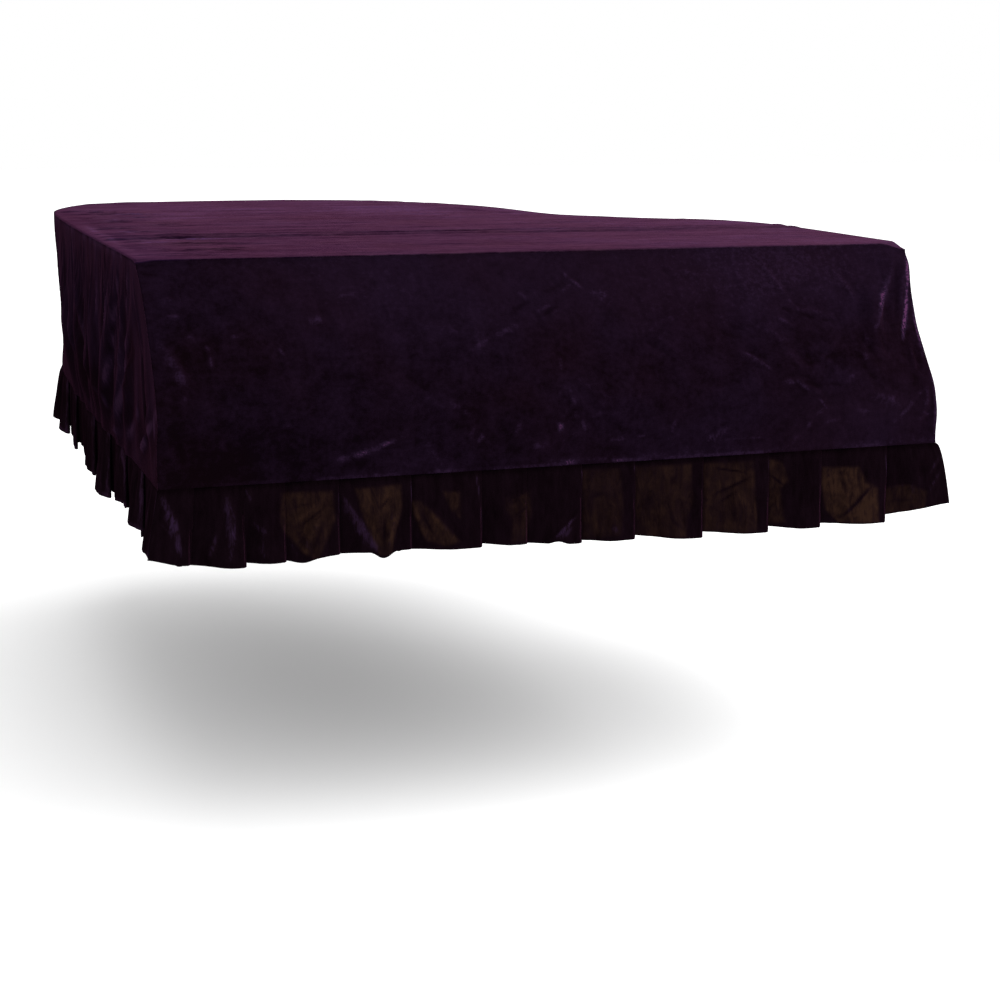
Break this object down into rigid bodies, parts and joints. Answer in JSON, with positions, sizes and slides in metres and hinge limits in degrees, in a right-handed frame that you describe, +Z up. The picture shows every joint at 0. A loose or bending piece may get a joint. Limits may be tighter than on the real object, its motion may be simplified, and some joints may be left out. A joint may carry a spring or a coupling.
{
  "type": "fitted grand piano cover",
  "caption": "Fitted velvet cover for a grand piano: flat top with a curved side, hanging panels and a pleated flounce, open below.",
  "frame": {"origin": "underside of the top, where the lid of the piano (left out) carries it, on the middle of the keyboard side and 0.91 m behind the lid's front edge", "axes": "+X from the bass side to the treble side along the keyboard, +Y from the keyboard to the tail, +Z up"},
  "size_m": [1.5521, 2.0298, 0.5124],
  "materials": {
    "plum_velvet": "crushed pile velvet, deep purple with a mauve sheen",
    "thin_plum_velvet": "single layer of thin velvet that lets a brown light through"
  },
  "bodies": {
    "root": {"top_panel": "plum_velvet", "front_panel": "plum_velvet", "side_panel": "plum_velvet", "front_flounce": "thin_plum_velvet", "side_flounce": "thin_plum_velvet"}
  },
  "joints": []
}
